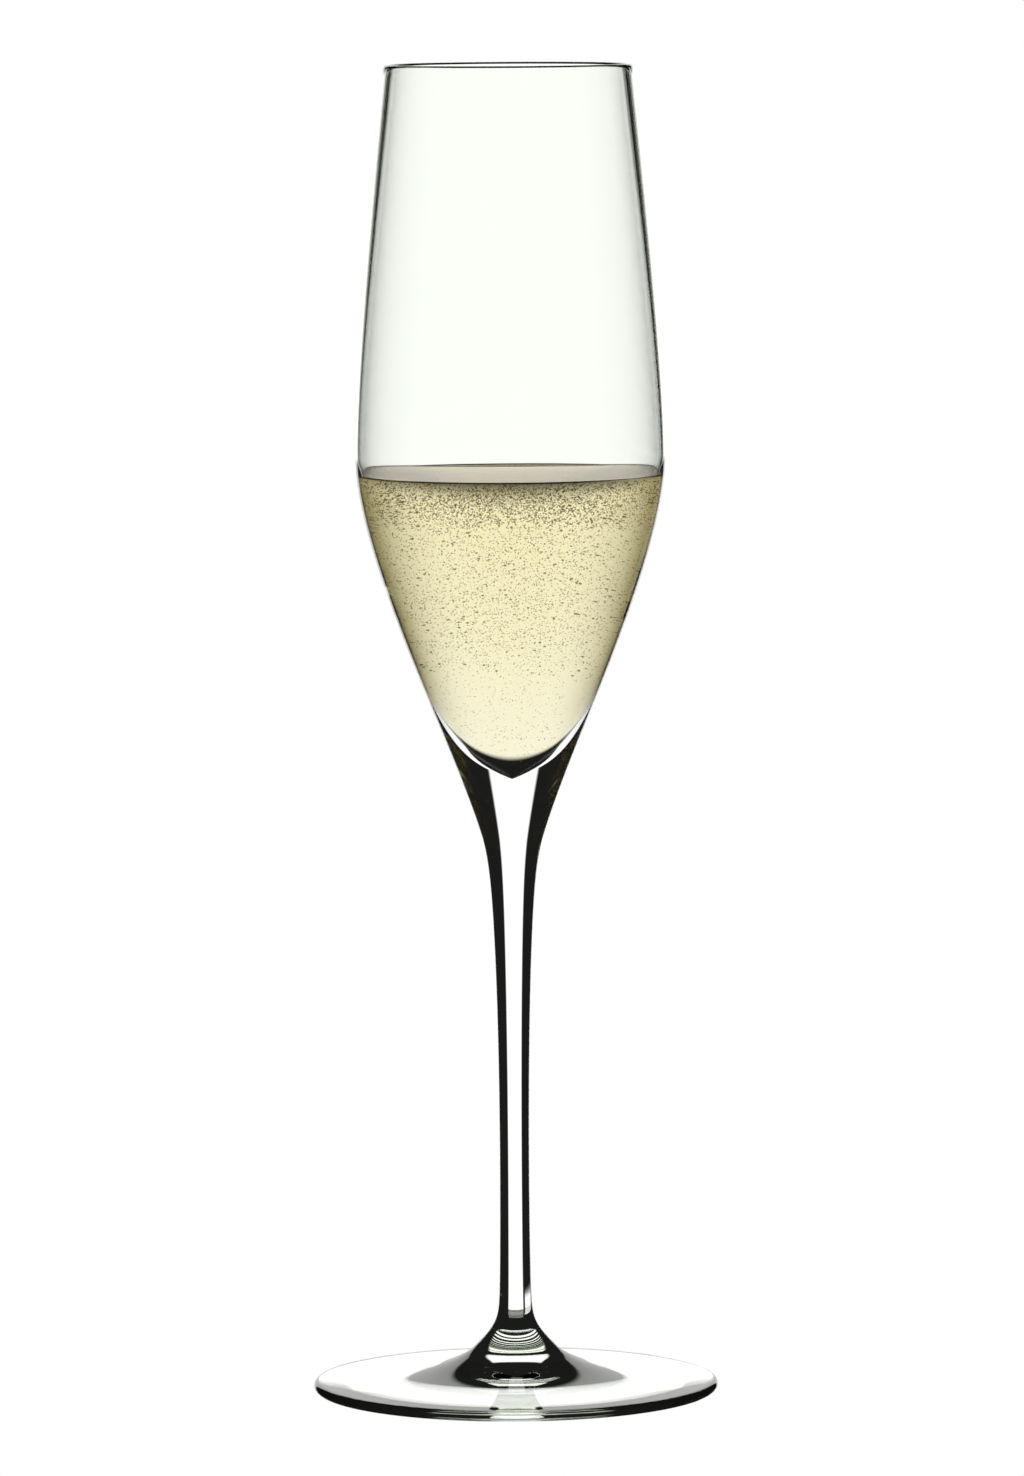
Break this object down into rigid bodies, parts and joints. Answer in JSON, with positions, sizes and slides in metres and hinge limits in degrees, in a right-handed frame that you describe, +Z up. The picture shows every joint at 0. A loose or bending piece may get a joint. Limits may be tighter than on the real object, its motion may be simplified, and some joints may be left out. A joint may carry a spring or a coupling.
{
  "type": "champagne flute",
  "caption": "Tall stemmed drinking glass with a tapered flute bowl, a thin drawn stem and a disc foot, part-filled with sparkling wine.",
  "frame": {"origin": "centre of the foot, on the plane that its resting ring stands on", "axes": "+Z up the stem to the rim, along the axis that the glass is turned about; X and Y are equal"},
  "size_m": [0.0728, 0.0728, 0.238],
  "materials": {
    "bowl_glass": "polished",
    "stem_glass": "polished",
    "foot_glass": "polished",
    "wine": "gloss"
  },
  "bodies": {
    "root": {"bowl": "bowl_glass", "stem": "stem_glass", "foot": "foot_glass", "wine": "wine"}
  },
  "joints": []
}
